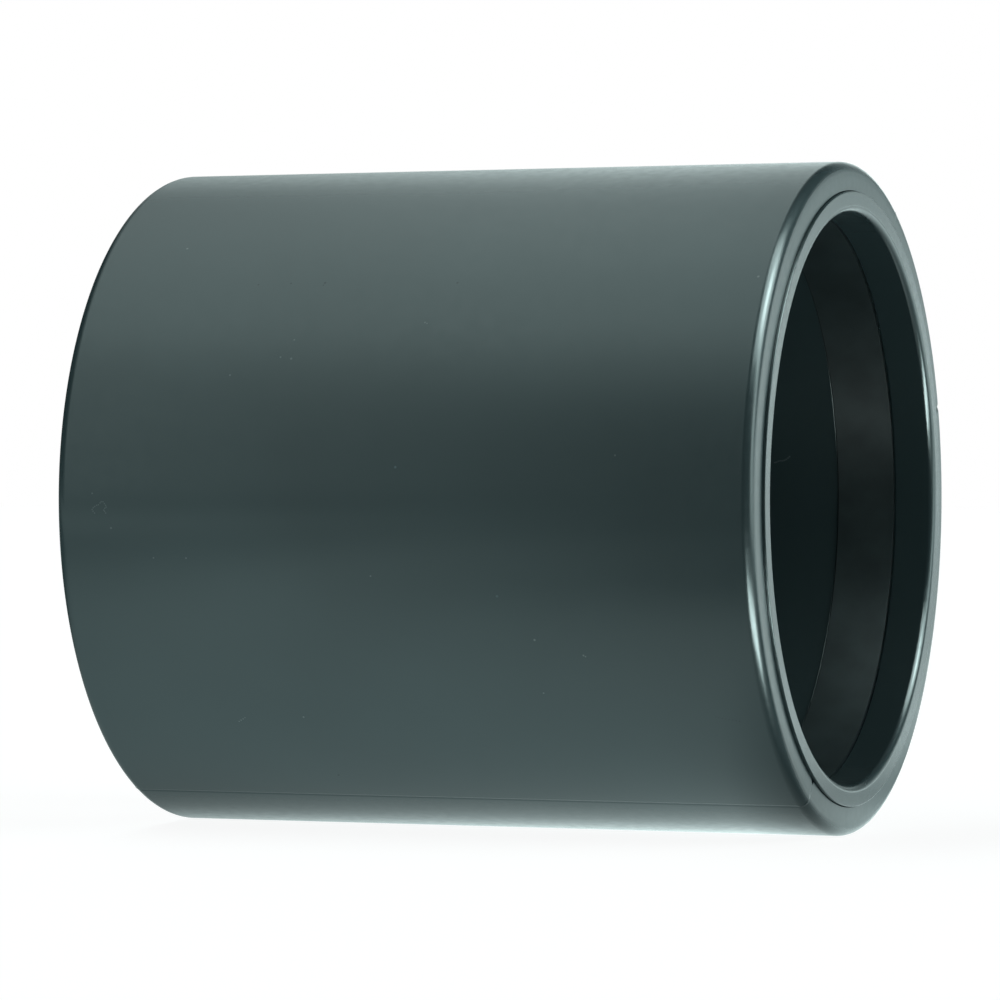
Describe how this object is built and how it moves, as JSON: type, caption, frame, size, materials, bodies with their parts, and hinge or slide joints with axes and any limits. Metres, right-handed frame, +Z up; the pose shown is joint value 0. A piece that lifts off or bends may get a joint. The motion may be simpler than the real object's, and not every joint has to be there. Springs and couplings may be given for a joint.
{
  "type": "push-fit pipe coupling",
  "caption": "Straight plastic sleeve that joins two pipe ends, with a lip seal and a snap-in retaining ring in each socket mouth.",
  "frame": {"origin": "on the coupling's axis, midway between the two ends", "axes": "+X along the coupling's axis towards the right socket's mouth, +Z up, lying on its side"},
  "size_m": [0.0822, 0.076, 0.076],
  "materials": {
    "body_plastic": "moulded dark grey plastic, satin gloss",
    "ring_plastic": "moulded dark grey plastic, smooth gloss",
    "seal_rubber": "very dark grey rubber, matt"
  },
  "bodies": {
    "root": {"coupling_body": "body_plastic", "retaining_ring_left": "ring_plastic", "retaining_ring_right": "ring_plastic", "lip_seal_left": "seal_rubber", "lip_seal_right": "seal_rubber"}
  },
  "joints": []
}
